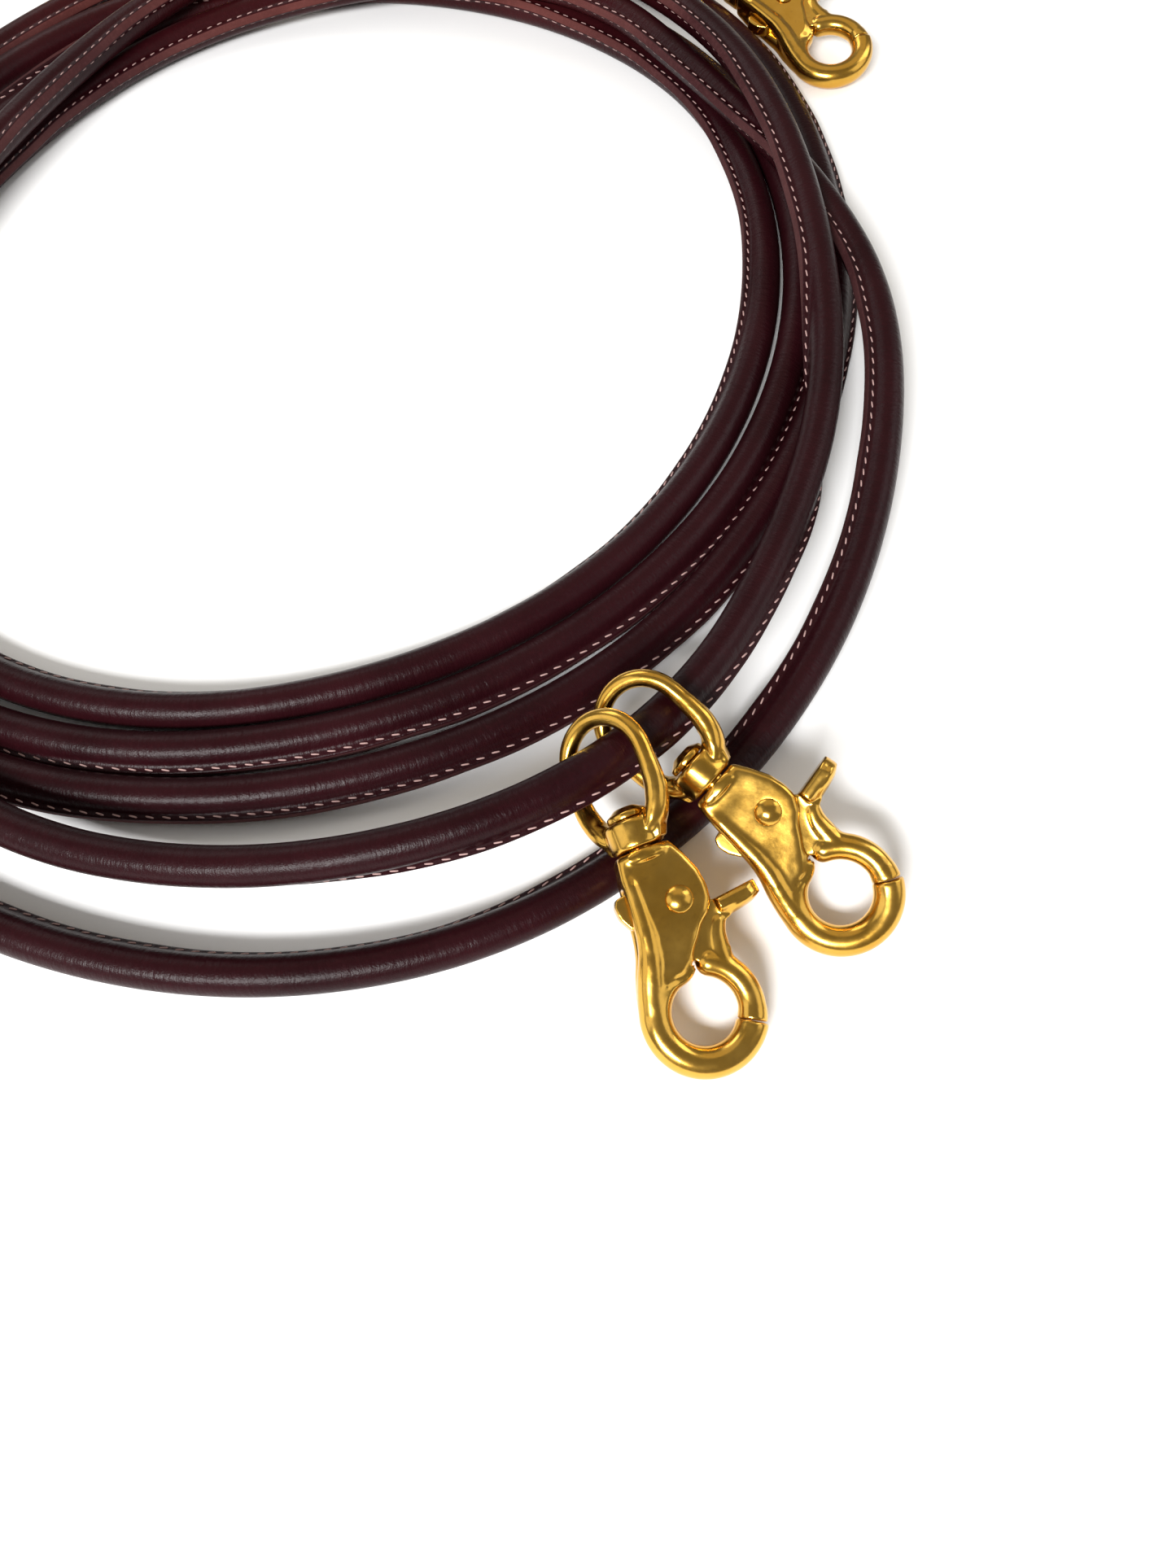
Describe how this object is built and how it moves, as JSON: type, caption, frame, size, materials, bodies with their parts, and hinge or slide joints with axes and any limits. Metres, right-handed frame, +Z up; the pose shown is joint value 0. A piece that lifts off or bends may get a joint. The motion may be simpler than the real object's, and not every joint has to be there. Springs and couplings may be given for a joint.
{
  "type": "training leash",
  "caption": "Long coiled leash of round rolled leather, with swivel trigger snaps sewn to its ends and more sliding along it.",
  "frame": {"origin": "centre of the coiled leash's footprint, on the surface it lies on", "axes": "+X to the right and +Y away from the viewer as the coil lies with its sliding snaps nearest, +Z up"},
  "size_m": [0.3164, 0.4168, 0.0293],
  "materials": {
    "leather": "satin",
    "brass": "polished",
    "spring_steel": "satin"
  },
  "bodies": {
    "leash": {"line": "leather", "end_loop_a": "leather", "end_loop_b": "leather", "end_wrap_a": "leather", "end_wrap_b": "leather"},
    "eye_a": {"snap_a_eye": "brass"},
    "hook_a": {"snap_a_casting": "brass", "snap_a_post": "brass", "snap_a_rivet": "brass", "snap_a_spring": "spring_steel"},
    "lever_a": {"snap_a_lever": "brass"},
    "eye_b": {"snap_b_eye": "brass"},
    "hook_b": {"snap_b_casting": "brass", "snap_b_post": "brass", "snap_b_rivet": "brass", "snap_b_spring": "spring_steel"},
    "lever_b": {"snap_b_lever": "brass"},
    "eye_left": {"snap_left_eye": "brass"},
    "hook_left": {"snap_left_casting": "brass", "snap_left_post": "brass", "snap_left_rivet": "brass", "snap_left_spring": "spring_steel"},
    "lever_left": {"snap_left_lever": "brass"},
    "eye_right": {"snap_right_eye": "brass"},
    "hook_right": {"snap_right_casting": "brass", "snap_right_post": "brass", "snap_right_rivet": "brass", "snap_right_spring": "spring_steel"},
    "lever_right": {"snap_right_lever": "brass"}
  },
  "joints": [
    {"name": "eye_swing_a", "type": "hinge", "parent": "leash", "child": "eye_a", "pos_m": [0.1001, 0.15207, 0.01203], "axis": [0.639, 0.7051, -0.3075], "range_deg": [-25, 0]},
    {"name": "swivel_a", "type": "hinge", "parent": "eye_a", "child": "hook_a", "pos_m": [0.11814, 0.13465, 0.00957], "axis": [0.7159, -0.6913, -0.0976], "range_deg": [-90, 90]},
    {"name": "gate_a", "type": "hinge", "parent": "hook_a", "child": "lever_a", "pos_m": [0.13126, 0.12594, 0.00864], "axis": [-0.0709, -0.211, 0.9749], "range_deg": [0, 18], "stiffness_Nm_per_rad": 0.06, "springref_deg": -68.75},
    {"name": "eye_swing_b", "type": "hinge", "parent": "leash", "child": "eye_b", "pos_m": [-0.06415, 0.19643, 0.01153], "axis": [-0.0057, -0.9784, 0.2067], "range_deg": [-25, 25]},
    {"name": "swivel_b", "type": "hinge", "parent": "eye_b", "child": "hook_b", "pos_m": [-0.08919, 0.19599, 0.00876], "axis": [-0.9938, -0.0173, -0.1097], "continuous": true},
    {"name": "gate_b", "type": "hinge", "parent": "hook_b", "child": "lever_b", "pos_m": [-0.10455, 0.19282, 0.00706], "axis": [-0.1097, -0.0019, 0.994], "range_deg": [0, 18], "stiffness_Nm_per_rad": 0.06, "springref_deg": -68.75},
    {"name": "line_slide_left", "type": "slide", "parent": "leash", "child": "eye_left", "axis": [0.7974, 0.6012, -0.0522], "range_m": [-0.006, 0]},
    {"name": "swivel_left", "type": "hinge", "parent": "eye_left", "child": "hook_left", "pos_m": [0.07919, -0.16194, 0.01666], "axis": [0.3612, -0.8939, -0.2656], "range_deg": [0, 30]},
    {"name": "gate_left", "type": "hinge", "parent": "hook_left", "child": "lever_left", "pos_m": [0.08747, -0.17472, 0.01256], "axis": [0.093, -0.2488, 0.9641], "range_deg": [0, 18], "stiffness_Nm_per_rad": 0.06, "springref_deg": -68.75},
    {"name": "line_slide_right", "type": "slide", "parent": "leash", "child": "eye_right", "axis": [0.7171, 0.6932, -0.0727], "range_m": [0, 0.006]},
    {"name": "swivel_right", "type": "hinge", "parent": "eye_right", "child": "hook_right", "pos_m": [0.09343, -0.14772, 0.01639], "axis": [0.7476, -0.6273, -0.2181], "range_deg": [-30, 0]},
    {"name": "gate_right", "type": "hinge", "parent": "hook_right", "child": "lever_right", "pos_m": [0.10691, -0.15562, 0.01424], "axis": [-0.1282, -0.4586, 0.8794], "range_deg": [0, 18], "stiffness_Nm_per_rad": 0.06, "springref_deg": -68.75}
  ]
}
